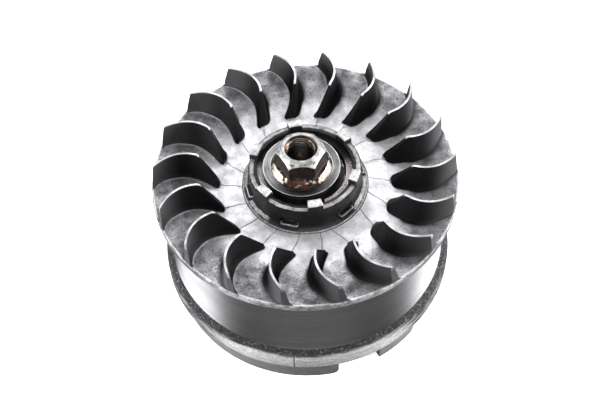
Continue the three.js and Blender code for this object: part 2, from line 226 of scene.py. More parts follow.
def new_group(name, inputs, outputs):
    """A node group of float sockets, the inputs with their usual values."""
    tree = bpy.data.node_groups.new(name, "ShaderNodeTree")
    for label, value in inputs:
        socket = tree.interface.new_socket(label, in_out="INPUT", socket_type="NodeSocketFloat")
        socket.default_value = value
    for label in outputs:
        tree.interface.new_socket(label, in_out="OUTPUT", socket_type="NodeSocketFloat")
    return tree, tree.nodes.new("NodeGroupInput").outputs, tree.nodes.new("NodeGroupOutput").inputs


# Coordinates round the axis, for marks that follow the turning tool.
turning_inputs = (("Lines per metre", 900.0), ("Streak", 1.5))
turning, given, result = new_group("turning_marks", turning_inputs, ("Lines", "Radius", "Height"))
place = put(turning, "TexCoord").outputs["Object"]
axes = put(turning, "SeparateXYZ", {0: place})
flat = put(turning, "CombineXYZ", {0: axes.outputs[0], 1: axes.outputs[1]})
reach = put(turning, "VectorMath", {0: flat.outputs[0]}, operation="LENGTH").outputs["Value"]
bearing = math_node(turning, "ARCTAN2", axes.outputs[1], axes.outputs[0])
per_metre = given["Lines per metre"]
across = times(turning, reach, per_metre)
upward = times(turning, axes.outputs[2], per_metre)
along = times(turning, bearing, given["Streak"])
wrapped = put(turning, "CombineXYZ", {0: across, 1: upward, 2: along})
rings = put(turning, "TexNoise", {"Vector": wrapped.outputs[0], "Scale": 1.0, "Detail": 5.0})
turning.links.new(ramp(turning, rings.outputs["Fac"], 0.3, 0.7), result["Lines"])
turning.links.new(reach, result["Radius"])
turning.links.new(rings.outputs["Fac"], result["Height"])

# The skin of a casting: blotches of tone, dark pits, and a fine rough grain.
skin_inputs = (("Blotch size", 5.0), ("Pit size", 1.1), ("Pit share", 0.3))
skin, given, result = new_group("cast_skin", skin_inputs, ("Tone", "Pits", "Height"))
place = put(skin, "TexCoord").outputs["Object"]
blotch_scale = math_node(skin, "DIVIDE", 1000.0, given["Blotch size"])
pit_scale = math_node(skin, "DIVIDE", 1000.0, given["Pit size"])
inputs = {"Vector": place, "Scale": blotch_scale, "Detail": 7.0, "Roughness": 0.62}
blotches = put(skin, "TexNoise", inputs)
inputs = {"Vector": place, "Scale": pit_scale, "Detail": 3.0, "Roughness": 0.7}
pit_noise = put(skin, "TexNoise", inputs)
pit_level = math_node(skin, "ADD", times(skin, given["Pit share"], 0.45), 0.22)
pit_edge = math_node(skin, "ADD", pit_level, 0.09)
pits = math_node(skin, "SUBTRACT", 1.0, ramp(skin, pit_noise.outputs["Fac"], pit_level, pit_edge))
grain = put(skin, "TexNoise", {"Vector": place, "Scale": 2600.0, "Detail": 2.0})
grain_height = times(skin, grain.outputs["Fac"], 0.5)
skin_height = math_node(skin, "SUBTRACT", grain_height, pits)
skin.links.new(ramp(skin, blotches.outputs["Fac"], 0.3, 0.7), result["Tone"])
skin.links.new(pits, result["Pits"])
skin.links.new(skin_height, result["Height"])


def group(tree, source, *values):
    """A use of a node group. Its inputs take the values in order, the rest keep their usual ones."""
    made = tree.nodes.new("ShaderNodeGroup")
    made.node_tree = source
    for socket, value in zip(made.inputs, values):
        socket.default_value = value
    return made.outputs


def painted(tree, name):
    """A mask that the mesh itself carries at its vertices."""
    return put(tree, "Attribute", attribute_name=name).outputs["Fac"]


def between(tree, mask, low, high):
    return put(tree, "MapRange", {"Value": mask, "To Min": low, "To Max": high}).outputs[0]


def stain(tree, size_mm, low, high, detail=4.0):
    """Patches of that size: 0 outside, 1 inside."""
    place = put(tree, "TexCoord").outputs["Object"]
    inputs = {"Vector": place, "Scale": 1000.0 / size_mm, "Detail": detail}
    noise = put(tree, "TexNoise", inputs)
    return ramp(tree, noise.outputs["Fac"], low, high)


def rubbed_and_lit_patches(tree, size_mm, low, high):
    return times(tree, painted(tree, "wear_and_highlight"), stain(tree, size_mm, low, high))


cast_material, tree = new_material("cast_aluminium")
marks = group(tree, turning, 500.0)
skins = group(tree, skin, 7.0, 0.9, 0.3)
outward = ramp(tree, marks["Radius"], 50 * MM, 72 * MM)
clean = blend(tree, skins["Tone"], (0.48, 0.48, 0.50), (0.68, 0.68, 0.71))
dull = blend(tree, skins["Tone"], (0.075, 0.075, 0.08), (0.235, 0.235, 0.25))
patches = times(tree, stain(tree, 9, 0.35, 0.65), -0.35)
patchy = math_node(tree, "ADD", outward, patches, clamp=True)
cast_colour = blend(tree, patchy, clean, dull)
pit_mask = times(tree, skins["Pits"], math_node(tree, "ADD", outward, 0.25, clamp=True))
cast_colour = blend(tree, pit_mask, cast_colour, (0.035, 0.035, 0.037))
rubbed_and_lit = rubbed_and_lit_patches(tree, 3, 0.2, 0.5)
cast_colour = blend(tree, rubbed_and_lit, cast_colour, (0.9, 0.9, 0.92))
# soot and painted shade: the blades' sides and foot fillets, and the floor beside one foot of each
# blade, are painted near-black from the mesh's mask
soot_and_shade_mask = ramp(tree, math_node(tree, "ADD", painted(tree, "soot_and_shade"), -0.02), 0.25, 0.75)
grey_end = ramp(tree, marks["Radius"], 66 * MM, 84 * MM)
soot_and_shade_colour = blend(tree, grey_end, (0.007, 0.007, 0.0075), (0.05, 0.05, 0.052))
cast_colour = blend(tree, soot_and_shade_mask, cast_colour, soot_and_shade_colour)
# the crack mask also holds the painted contact shadow at the cup's front
cracks_and_front_shade = times(tree, painted(tree, "crack"), 0.85)
cast_colour = blend(tree, cracks_and_front_shade, cast_colour, (0.03, 0.03, 0.03))
bare_metal = between(tree, soot_and_shade_mask, 0.55, 0.0)
rough = between(tree, skins["Tone"], 0.62, 0.45)
surface(tree, cast_colour, bare_metal, rough, skins["Height"], 0.12, specular=0.05)

bright_material, tree = new_material("machined_aluminium")
marks = group(tree, turning, 2500.0, 3.0)
bright_colour = blend(tree, marks["Lines"], (0.45, 0.45, 0.46), (0.74, 0.74, 0.75))
bright_colour = blend(tree, stain(tree, 7, 0.35, 0.65), bright_colour, (0.27, 0.27, 0.28))
# painted shade: the machined tops darken towards the blade tips, where their reflection is weaker
tip_shade = times(tree, ramp(tree, marks["Radius"], 65 * MM, 78 * MM), 0.5)
bright_colour = blend(tree, tip_shade, bright_colour, (0.1,) * 3)
surface(tree, bright_colour, 0.6, 0.48, marks["Height"], 0.03)

drum_material, tree = new_material("turned_drum")
marks = group(tree, turning, 1600.0, 0.9)
haze = stain(tree, 22, 0.3, 0.7)
drum_colour = blend(tree, marks["Lines"], (0.148, 0.148, 0.152), (0.195, 0.195, 0.2))
drum_colour = blend(tree, times(tree, haze, 0.35), drum_colour, (0.115, 0.115, 0.12))
specks = times(tree, stain(tree, 1.6, 0.68, 0.72), 0.6)
drum_colour = blend(tree, specks, drum_colour, (0.12,) * 3)
shader = surface(tree, drum_colour, 1.0, between(tree, haze, 0.46, 0.54), marks["Height"], 0.012)
shader.inputs["Anisotropic"].default_value = 0.9
shader.inputs["Anisotropic Rotation"].default_value = 0.25
lay = put(tree, "Tangent", direction_type="RADIAL", axis="Z")
tree.links.new(lay.outputs[0], shader.inputs["Tangent"])

rim_material, tree = new_material("scuffed_rim")
marks = group(tree, turning, 700.0, 3.0)
skins = group(tree, skin, 4.0, 0.9, 0.34)
rim_colour = blend(tree, skins["Tone"], (0.12, 0.12, 0.123), (0.36, 0.36, 0.37))
scuff = times(tree, marks["Lines"], stain(tree, 12, 0.5, 0.7))
rim_colour = blend(tree, scuff, rim_colour, (0.5, 0.5, 0.51))
rim_colour = blend(tree, skins["Pits"], rim_colour, (0.05, 0.05, 0.052))
# darker on the rim's left and right flanks, from the mesh's mask
rim_colour = blend(tree, painted(tree, "soot_and_shade"), rim_colour, (0.03, 0.03, 0.031))
rubbed_and_lit = rubbed_and_lit_patches(tree, 4, 0.38, 0.66)
rim_colour = blend(tree, rubbed_and_lit, rim_colour, (0.6, 0.6, 0.61))
surface(tree, rim_colour, 0.3, 0.5, skins["Height"], 0.08)

flange_material, tree = new_material("rough_flange")
marks = group(tree, turning, 600.0, 7.0)
skins = group(tree, skin, 1.7, 0.7, 0.45)
specks = stain(tree, 1.3, 0.56, 0.68, 3.0)
black_skin = blend(tree, skins["Tone"], (0.012, 0.012, 0.013), (0.04, 0.04, 0.042))
black_skin = blend(tree, times(tree, specks, 0.25), black_skin, (0.32, 0.32, 0.33))
rubbed = blend(tree, skins["Tone"], (0.44, 0.44, 0.44), (0.72, 0.72, 0.71))
rubbed = blend(tree, times(tree, marks["Lines"], 0.6), rubbed, (0.27, 0.27, 0.27))
rubbed = blend(tree, times(tree, skins["Pits"], 0.3), rubbed, (0.08, 0.08, 0.08))
rub_edge = math_node(tree, "ADD", painted(tree, "wear_and_highlight"), times(tree, marks["Lines"], 0.35))
flange_colour = blend(tree, ramp(tree, rub_edge, 0.4, 1.0), black_skin, rubbed)
flange_colour = blend(tree, painted(tree, "crack"), flange_colour, (0.01, 0.01, 0.01))
surface(tree, flange_colour, 0.1, 0.55, skins["Height"], 0.3, specular=0.08)

bell_material, tree = new_material("bell_inside")
marks = group(tree, turning, 700.0)
skins = group(tree, skin, 9.0, 1.6, 0.35)
bell_colour = blend(tree, marks["Lines"], (0.20, 0.20, 0.20), (0.40, 0.40, 0.41))
bell_colour = blend(tree, skins["Pits"], bell_colour, (0.06, 0.05, 0.045))
bell_colour = blend(tree, stain(tree, 20, 0.4, 0.7), bell_colour, (0.13, 0.12, 0.11))
surface(tree, bell_colour, 0.7, 0.5, skins["Height"], 0.1)


def blade_angle(radius):
    """Plan curve of blade 1, in degrees: it bows clockwise."""
    share = radius / fan_radius
    return 99.8 - 43.5 * (share - 0.545) + 157.3 * (share - 0.545) * (share - 0.692)


def floor_height(radius):
    if radius <= dish_radius:
        share = (dish_radius - radius) / (dish_radius - recess_radius)
        return dish_height + (recess_height - dish_height) * share
    slope = (rim_height - dish_height) / (fan_radius - 0.5 - dish_radius)
    return dish_height + slope * (radius - dish_radius)


def smooth(value, low, high):
    share = min(1.0, max(0.0, (value - low) / (high - low)))
    return share * share * (3 - 2 * share)


def crest_height(radius):
    """Top of a blade: a sloping inner end, a rounded shoulder and a flat machined edge."""
    nose = floor_height(blade_nose_radius) + blade_nose_rise
    share = (radius - blade_nose_radius) / (blade_shoulder_radius - blade_nose_radius)
    sloping = nose + (blade_top_height - nose) * share
    rounding = 0.5
    gap = (sloping - blade_top_height) / rounding
    return blade_top_height if gap > 30 else sloping - rounding * math.log1p(math.exp(gap))


floor_columns = 7
fillet_columns = 6
wall_columns = 4


def half_section(radius, crack_depth):
    """Offsets from the blade's centre line, heights and masks, from the crest out to the fillet."""
    ground = floor_height(radius)
    grown = smooth(radius, blade_nose_radius - 1.1, blade_nose_radius + 0.5)
    rise = max(0.0, crest_height(max(radius, blade_nose_radius)) - ground) * grown
    machined = smooth(radius, blade_shoulder_radius - 1.5, blade_shoulder_radius + 0.5)
    edge = min(0.45 - 0.3 * machined, rise * 0.3)
    fillet = min(foot_fillet, rise * 0.45)
    plan_nose = math.sqrt(max(0.0, 1 - (max(0.0, blade_nose_radius + 1.8 - radius) / 2.9) ** 2))
    top = ground + rise

    slim = smooth(radius, 70, 80)
    foot_width = blade_foot_width - 1.5 * slim
    fillet *= 1 - 0.45 * slim

    def half_width(height):
        share = (blade_top_height - height) / (blade_top_height - ground)
        return (blade_top_width + (foot_width - blade_top_width) * share) / 2 * plan_nose

    crest = half_width(top)
    dark_top = 0.95 * (1 - machined)
    points = [(0.0, top, dark_top, 0.0), (max(0.0, crest - edge), top, dark_top, 0.0)]
    points.append((max(0.0, crest - edge * 0.3), top - edge * 0.3, max(0.1, dark_top), 0.0))
    points.append((crest, top - edge, 0.9 if rise > 2 else 0.6, 0.0))
    low = ground + fillet
    # the blade's sides are painted fully dark and the foot fillet fades out: soot and painted shade
    # in the crease
    for step in range(1, wall_columns + 1):
        height = top - edge + (low - top + edge) * step / wall_columns
        points.append((half_width(height), height, 1.0, 0.0))
    foot_line = smooth(radius, 62, 70)
    for step in range(1, fillet_columns + 1):
        turn = math.pi / 2 * step / fillet_columns
        offset = half_width(low) + fillet * (1 - math.cos(turn)) * 1.05
        height = ground + fillet * (1 - math.sin(turn))
        soot_and_shade = (1.0, 1.0, 1.0, 0.85, 0.45, 0.1)[step - 1]
        wear_and_highlight = foot_line * (0.0, 0.0, 0.0, 0.0, 0.55, 0.1)[step - 1]
        points.append((offset, height, soot_and_shade * min(1.0, rise / 3), wear_and_highlight))
    # inside the blades' noses the same columns carry a hairline crack that runs on to the hub
    made = []
    for index, (offset, height, soot_and_shade, wear_and_highlight) in enumerate(points):
        narrow = 0.13 * index**1.25
        offset = narrow + (offset - narrow) * grown
        dip = crack_depth * math.exp(-((narrow / 0.17) ** 2)) * (1 - grown)
        made.append((offset, height - dip, soot_and_shade * grown, wear_and_highlight, dip))
    return made


nose_angle = blade_angle(blade_nose_radius)
crack_bends = [rng.uniform(1.5, 7.0) for _ in range(blade_count)]
crack_bends[8] = -6.0  # one crack runs the other way
crack_waves = [rng.uniform(0.0, 2 * math.pi) for _ in range(blade_count)]
crack_strengths = [0.15 if blade < 6 or blade > 15 else 1.0 for blade in range(blade_count)]


def centre_angle(radius, blade):
    """Angle of a blade's centre line, and inside its nose of the crack, in degrees."""
    if radius >= blade_nose_radius:
        return blade_angle(radius) - 360 / blade_count * blade
    inward = (blade_nose_radius - radius) / 11.0
    wander = 0.5 * math.sin(7 * inward + crack_waves[blade]) * inward
    return nose_angle + crack_bends[blade] * inward + wander - 360 / blade_count * blade


def grid_row(radius):
    """One ring of the fan's upper face: (radius, angle, height, soot, worn, crack) per column."""
    points = half_section(radius, 0.5)
    ahead = math.radians(blade_angle(radius + 0.05) - blade_angle(radius - 0.05)) / 0.1
    lean = math.hypot(1, radius * ahead * smooth(radius, 46, 49))
    ground = floor_height(radius)
    shade = smooth(radius, 50, 62)  # painted shade lies along the outer feet of the blades
    row = []
    for blade in range(blade_count):
        crack = 2 * crack_strengths[blade]
        centre = centre_angle(radius, blade)
        before = centre_angle(radius, (blade + 1) % blade_count)
        after = centre_angle(radius, (blade - 1) % blade_count)
        before += 360 if before > centre else 0
        half_gap_low = ((centre - before) % 360) / 2
        half_gap_high = ((after - centre) % 360) / 2
        sides = []
        for sign, half_gap in ((-1, half_gap_low), (1, half_gap_high)):
            side = []
            for index, (offset, height, soot_and_shade, wear_and_highlight, dip) in enumerate(points):
                spread = math.degrees(offset * lean / radius)
                # painted shade on the foot fillet on one side of each blade
                if sign < 0 and index >= len(points) - 3:
                    soot_and_shade = max(soot_and_shade, (0.95, 0.8, 0.62)[index - len(points) + 3] * shade)
                    wear_and_highlight *= 1 - shade
                side.append((centre + sign * spread, height, soot_and_shade, wear_and_highlight, dip * crack))
            start = side[-1][0]
            end = centre + sign * half_gap
            for step in range(1, floor_columns + 1):
                share = step / floor_columns
                # painted shadow spreading from that foot over the floor
                soot_and_shade = shade * (0.5, 0.38, 0.25, 0.1)[step - 1] if sign < 0 and step < 5 else 0.0
                side.append((start + (end - start) * share, ground, soot_and_shade, 0.0, 0.0))
            sides.append(side)
        low_side, high_side = sides
        # anticlockwise: from the gap before the blade up to the crest, and down the far side
        row.append((low_side[::-1] + high_side[1:])[1:])
    ordered = [column for part in reversed(row) for column in part]
    return [(radius, *column) for column in ordered]


row_radii = [35.0, 35.4, 36.0, 37.5, 39.0, 40.5, 42.0, 43.3, 44.4, 45.2, 45.8, 46.2, 46.5, 46.8, 47.1]
row_radii += [47.4, 47.8, 48.3, 48.9, 49.6]
row_radii += list(np.linspace(50.4, 57.0, 8)) + [57.5, 57.9, 58.3, 58.8, 59.5]
row_radii += list(np.linspace(60.5, 80.6, 19)) + [81.4]
rows = [grid_row(radius) for radius in row_radii]
cast_rows = len(rows)
# painted contact shadow round the cup's front, carried in the crack mask
for index, (radius, angle, height, soot_and_shade, wear_and_highlight, dip) in enumerate(rows[0]):
    front_shade = smooth(-math.sin(math.radians(angle)), 0.1, 0.5)
    rows[0][index] = (radius, angle, height, soot_and_shade, wear_and_highlight, max(dip, front_shade))


def end_radius(height):
    share = (height - rim_height) / (blade_top_height - rim_height)
    return blade_end_foot + (blade_end_top - blade_end_foot) * min(1.0, max(-0.2, share))


def unwrap(angle, near):
    return near + (angle - near + 180) % 360 - 180


# the blades' turned outer ends, down to the rim's edge
last = rows[-1]
rim_edge = rim_height - 0.1
end_steps = 5
for step in range(1, end_steps + 1):
    ring = []
    for radius, angle, height, soot_and_shade, wear_and_highlight, dip in last:
        drop = height - rim_edge
        direct_share = step / end_steps
        direct = (radius + (blade_end_foot - radius) * direct_share, height - drop * direct_share)
        fall = (step - 1) / (end_steps - 1)
        edge_height = height - drop * fall
        around = (end_radius(edge_height), edge_height)
        weight = smooth(drop, 0.5, 2.5)
        r = direct[0] + (around[0] - direct[0]) * weight
        z = direct[1] + (around[1] - direct[1]) * weight
        turned_on = blade_angle(r) - blade_angle(radius)
        edge_worn = 0.45 if step >= end_steps - 1 and weight < 0.5 else 0.0
        grey = 0.72 if weight > 0.5 and step > 1 else soot_and_shade
        ring.append((r, angle + turned_on, z, grey, edge_worn, 0.0))
    rows.append(ring)
rim_rows = len(rows)


def rounded(corners, steps=3):
    """A profile whose corners (radius, height, rounding) are arcs. Arcs count as worn, with a clean
    point just before and after them. Corners with no rounding stay sharp."""
    made = []
    count = len(corners)
    for index, (r, z, rounding) in enumerate(corners):
        here = Vector((r, z))
        if not rounding:
            made.append((r, z, 0.0))
            continue
        before = Vector(corners[index - 1][:2]) - here
        after = Vector(corners[(index + 1) % count][:2]) - here
        half = before.angle(after) / 2
        reach = min(rounding / math.tan(half), before.length * 0.45, after.length * 0.45)
        guard = min(reach * 1.6, before.length * 0.49, after.length * 0.49)
        start = here + before.normalized() * reach
        end = here + after.normalized() * reach
        made.append((*(here + before.normalized() * guard), 0.0))
        for step in range(steps + 1):
            t = step / steps
            point = start * (1 - t) ** 2 + here * (2 * t * (1 - t)) + end * t**2
            made.append((*point, 1.0))
        made.append((*(here + after.normalized() * guard), 0.0))
    return made


def bar_section(inner, outer, bottom, top, roundings, steps=2):
    """A ring's cross-section: its four corners, each with its rounding."""
    places = ((inner, bottom), (outer, bottom), (outer, top), (inner, top))
    return rounded([(*place, rounding) for place, rounding in zip(places, roundings)], steps)


ring_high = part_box("magnet_ring")[1]
ring_radius = ring_high.x / MM
ring_top = ring_high.z / MM
gap = 0.3

rim_bottom = 80.2
waist_radius = 77.2
flange_radius = 83.2
bell_radius = 72.0
boss_bore = 17.6
seam_angle = -97.0  # the mark of the mould's joint on the flange
seam_half = 0.26
CAST, BRIGHT, DRUM, RIM, FLANGE, BELL = range(6)
# down the outside and up the inside: (radius, height), and where it is rubbed also how worn it is
rim_points = [(83.75, rim_height - 0.3, 0.5), (fan_radius, rim_height - 0.9, 0.3)]
rim_points += [(fan_radius, rim_height - 1.6), (fan_radius, rim_bottom + 1.2)]
rim_points += [(83.95, rim_bottom + 0.5, 0.6), (83.4, rim_bottom, 0.6), (82.4, rim_bottom - 0.1)]
drum_points = [(80.2, 79.9), (78.9, 79.0), (78.2, 77.4), (77.7, 74.0), (77.35, 70.5)]
drum_points += [(waist_radius, z) for z in (68.0, 60.0, 52.0, 45.4)]
drum_points += [(77.3, 45.2), (77.34, 41.0), (77.44, 40.8), (77.6, 36.6), (77.7, 36.4), (78.1, 32.6)]
drum_points += [(78.35, 31.5)]
flange_points = [(78.8, 30.7), (79.6, 30.1), (80.5, 29.75), (81.3, 29.4, 0.1), (82.0, 28.8, 0.35)]
flange_points += [(82.6, 27.9, 0.7), (83.0, 26.8, 0.9), (flange_radius, 25.4, 1.0)]
flange_points += [(flange_radius, 22.0, 1.0), (flange_radius, 19.4, 0.95), (83.0, 18.2, 0.6)]
flange_points += [(82.4, 17.5, 0.4), (81.6, flange_bottom, 0.2), (ring_radius + gap, flange_bottom)]
bell_points = [(ring_radius + gap, ring_top + gap), (bell_radius + 0.3, ring_top + gap)]
bell_points += [(bell_radius, z) for z in (ring_top + 2 * gap, 40.0, 56.0, 68.6)]
bell_points += [(71.6, 71.0), (70.5, 73.0), (68.6, 74.6), (66.0, 75.6), (62.0, 75.3), (58.0, 74.5)]
bell_points += [(54.0, 73.7), (50.0, 72.9), (46.5, 71.8), (43.0, 69.3), (40.5, 67.0), (39.4, 66.2)]
bell_points += [(r, 66.0) for r in (38.2, 32.0, 26.0, boss_bore)]
bell_points += [(boss_bore, 70.7), (recess_radius, 70.7)]
outline = [(point, RIM) for point in rim_points] + [(point, DRUM) for point in drum_points]
outline += [(point, FLANGE) for point in flange_points] + [(point, BELL) for point in bell_points]
outline += [((recess_radius, recess_height - 0.5), CAST)]
twist_from, twist_to = 42, 56
rim_ring = rows[-1]
inner_ring = rows[0]
row_materials = [CAST] * rim_rows
for index, ((r, z, *rubbed), material) in enumerate(outline):
    share = smooth(index, twist_from, twist_to)
    wear_and_highlight = rubbed[0] if rubbed else 0.0
    ring = []
    for outer, inner in zip(rim_ring, inner_ring):
        start = outer[1]
        angle = start + (unwrap(inner[1], start) - start) * share
        near_seam = abs(unwrap(angle, seam_angle) - seam_angle) < seam_half
        on_seam = near_seam and material == FLANGE and wear_and_highlight > 0.5
        flank = smooth(abs(math.cos(math.radians(angle))), 0.35, 0.8)
        # the rim is painted darker on its left and right flanks
        flank_darkening = 0.85 * flank if material == RIM else 0.0
        kept = 1 - 0.62 * flank if material == FLANGE else 1 - 0.5 * flank
        ring.append((r, angle, z, flank_darkening, wear_and_highlight * kept, 1.0 if on_seam else 0.0))
    rows.append(ring)
    row_materials.append(material)


def ring_mesh(name, rows, face_material=None, materials=()):
    """A surface from rings of (radius, angle, height, masks...) with the same number of columns."""
    table = np.array(rows, float)
    count, columns = table.shape[:2]
    turn = np.radians(table[:, :, 1])
    points = np.stack(
        [table[:, :, 0] * np.cos(turn), table[:, :, 0] * np.sin(turn), table[:, :, 2]], axis=-1
    )
    faces = []
    tags = []
    for i in range(count):
        j = (i + 1) % count
        for c in range(columns):
            d = (c + 1) % columns
            faces.append((i * columns + c, j * columns + c, j * columns + d, i * columns + d))
            tags.append(face_material(i, c) if face_material else 0)
    mesh = mesh_from(name, (points.reshape(-1, 3) * MM).tolist(), faces, materials)
    mesh.polygons.foreach_set("material_index", tags)
    for index, label in enumerate(("soot_and_shade", "wear_and_highlight", "crack")):
        if table.shape[2] > 3 + index:
            mask = mesh.attributes.new(label, "FLOAT", "POINT")
            mask.data.foreach_set("value", table[:, :, 3 + index].ravel().astype(np.float32))
    mesh.update()
    return mesh


sharp_edge = math.radians(32)


def finish_piece(piece, body, stands_for):
    """Shades a mesh smooth up to an angle, and lets it stand for its CAD nodes on their body."""
    if isinstance(piece, bpy.types.Mesh):
        piece = object_from(piece)
    piece.data.shade_smooth()
    piece.data.set_sharp_from_angle(angle=sharp_edge)
    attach(piece, body)
    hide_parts(*stands_for)
    return piece


per_blade = len(rows[0]) // blade_count
crest_face = per_blade // 2 - 1.5
shoulder_row = next(i for i, r in enumerate(row_radii) if r >= blade_shoulder_radius + 0.3)


def casting_material(row, column):
    if row >= rim_rows:
        return row_materials[row]
    if row >= rim_rows - 2:
        return RIM if row == rim_rows - 1 else CAST
    on_top = abs(column % per_blade - crest_face) < 1.6
    return BRIGHT if on_top and shoulder_row <= row < cast_rows else CAST


casting_materials = [cast_material, bright_material, drum_material]
casting_materials += [rim_material, flange_material, bell_material]
casting = ring_mesh("fan", rows, casting_material, casting_materials)
blade_nodes = ["fan_blade_%02d" % (k + 1) for k in range(blade_count)]
finish_piece(casting, "flywheel", ["fan_casting", *blade_nodes])


# ---- Magnet ring ----
# A turned steel ring under the flange, with notches in its lower edge. One end of each notch has a
# rounded lower corner, the other is square.

notch_top = 17.0
notch_middles = (-70.0, -32.0, 110.0, 148.0)
notch_width = 18.6
notch_corner = 3.4  # rounding of the ring's lower corner at the notch's clockwise end
ring_inner = 71.4

ring_material, tree = new_material("ring_steel")
marks = group(tree, turning, 1200.0, 2.0)
skins = group(tree, skin, 6.0, 0.8, 0.3)
ring_colour = blend(tree, marks["Lines"], (0.13, 0.13, 0.132), (0.2, 0.2, 0.204))
ring_colour = blend(tree, times(tree, skins["Tone"], 0.35), ring_colour, (0.1, 0.097, 0.094))
rubbed_and_lit = rubbed_and_lit_patches(tree, 5, 0.3, 0.6)
ring_colour = blend(tree, rubbed_and_lit, ring_colour, (0.42, 0.42, 0.43))
rough = between(tree, skins["Tone"], 0.36, 0.52)
surface(tree, ring_colour, 0.3, rough, skins["Height"], 0.06)


def no_darkening(angle):
    return 0.0


def lathe(name, angles, section, materials, face_material=None, closed=True, soot_and_shade=no_darkening):
    """Sections of (radius, height, and the wear and highlight mask, if there is one) at the given
    angles, joined round the axis. An open lathe gets flat ends."""
    columns = [section(angle) for angle in angles]
    rows = [
        [(r, angle, z, soot_and_shade(angle), *(wear_and_highlight or [0.0])) for angle, (r, z, *wear_and_highlight) in zip(angles, line)]
        for line in zip(*columns)
    ]
    mesh = ring_mesh(name, rows, face_material, materials)
    if closed:
        mesh.flip_normals()
        return mesh
    count, width = len(rows), len(angles)
    keep = [p for p in mesh.polygons if abs(p.vertices[0] % width - p.vertices[3] % width) == 1]
    faces = [tuple(reversed(p.vertices)) for p in keep]
    tags = [p.material_index for p in keep]
    faces.append(tuple(i * width for i in range(count)))
    faces.append(tuple(i * width + width - 1 for i in reversed(range(count))))
    ends = mesh_from(name, [tuple(v.co) for v in mesh.vertices], faces, materials)
    ends.polygons.foreach_set("material_index", tags + [0, 0])
    for label in ("soot_and_shade", "wear_and_highlight"):
        values = np.zeros(len(mesh.vertices), np.float32)
        mesh.attributes[label].data.foreach_get("value", values)
        ends.attributes.new(label, "FLOAT", "POINT").data.foreach_set("value", values)
    ends.update()
    bpy.data.meshes.remove(mesh)
    return ends


notch_angles = []
for middle in notch_middles:
    start, stop = middle - notch_width / 2, middle + notch_width / 2
    corner = math.degrees(notch_corner / ring_radius)
    notch_angles += [start - corner * (1 - math.sin(math.pi / 2 * i / 6)) for i in range(7)]
    notch_angles += [start + 0.03, stop - 0.03, stop]
    notch_angles += list(np.linspace(start + 1.2, stop - 1.2, 12))
plain = [a for a in np.arange(-180, 180, 1.5) if min(abs(a - n) for n in notch_angles) > 0.5]
ring_angles = sorted([*plain, *notch_angles])


def ring_bottom(angle):
    for middle in notch_middles:
        start, stop = middle - notch_width / 2, middle + notch_width / 2
        if start + 0.02 < angle < stop - 0.02:
            return notch_top
        into = math.radians(angle - start) * ring_radius + notch_corner
        if 0 <= into <= notch_corner + 0.01:
            return notch_corner - math.sqrt(max(0.0, notch_corner**2 - into**2))
    return 0.0


def ring_section(angle):
    return bar_section(ring_inner, ring_radius, ring_bottom(angle), ring_top, (0.5, 0.5, 0.3, 0.3))


ring = lathe("ring", ring_angles, ring_section, [ring_material])
finish_piece(ring, "flywheel", ["magnet_ring"])


# ---- Magnets, pole shoes and their screws ----
# Six cast magnets stand inside the ring, each behind a soft-iron shoe. Two countersunk screws hold
# each pair to the ring. They show only from below.

magnet_material, tree = new_material("magnet_alloy")
skins = group(tree, skin, 5.0, 0.7, 0.4)
magnet_colour = blend(tree, skins["Tone"], (0.045, 0.045, 0.046), (0.1, 0.1, 0.1))
surface(tree, magnet_colour, 0.5, 0.62, skins["Height"], 0.12)

shoe_material, tree = new_material("pole_iron")
marks = group(tree, turning, 1500.0, 1.0)
shoe_colour = blend(tree, marks["Lines"], (0.24, 0.235, 0.23), (0.36, 0.355, 0.35))
rusty = stain(tree, 6, 0.52, 0.68, 8.0)
shoe_colour = blend(tree, rusty, shoe_colour, (0.13, 0.055, 0.025))
surface(tree, shoe_colour, between(tree, rusty, 0.9, 0.0), 0.45, marks["Height"], 0.05)

screw_material, tree = new_material("screw_steel")
skins = group(tree, skin, 1.5, 0.3, 0.3)
screw_colour = blend(tree, skins["Tone"], (0.2, 0.2, 0.2), (0.38, 0.38, 0.38))
surface(tree, screw_colour, 0.9, 0.4, skins["Height"], 0.03)

pole_count = 6
pole_phase = -40.0
magnet_radii = (65.6, 71.1)
magnet_span = 40.0
shoe_radii = (60.6, 65.3)
shoe_span = 46.0
screw_side = 8.0
screw_height = 21.4
screw_head = 3.8
screw_slot = 1.2


def block(name, middle, span, radii, bottom, top, material):
    """An arc-shaped block with rounded edges."""
    ease = math.degrees(0.5 / radii[0])
    first, last = middle - span / 2, middle + span / 2
    angles = [first, first + ease, *np.linspace(first + 1, last - 1, 18), last - ease, last]

    def section(angle):
        inset = 0.35 if angle in (first, last) else 0.0
        inner, outer = radii[0] + inset, radii[1] - inset
        return bar_section(inner, outer, bottom + inset, top - inset, (0.4,) * 4)

    return lathe(name, angles, section, [material], closed=False)


def cut(piece, mesh, lie, operation="DIFFERENCE"):
    """Takes a solid that lies there out of a piece, or joins it to the piece."""
    tool = object_from(mesh)
    tool.matrix_world = lie
    modifier = piece.modifiers.new("cut", "BOOLEAN")
    modifier.operation = operation
    modifier.solver = "EXACT"
    modifier.object = tool
    bpy.context.view_layer.update()
    graph = bpy.context.evaluated_depsgraph_get()
    made = bpy.data.meshes.new_from_object(piece.evaluated_get(graph), depsgraph=graph)
    piece.modifiers.clear()
    old = piece.data
    piece.data = made
    made.name = old.name
    bpy.data.meshes.remove(old)
    bpy.data.objects.remove(tool)


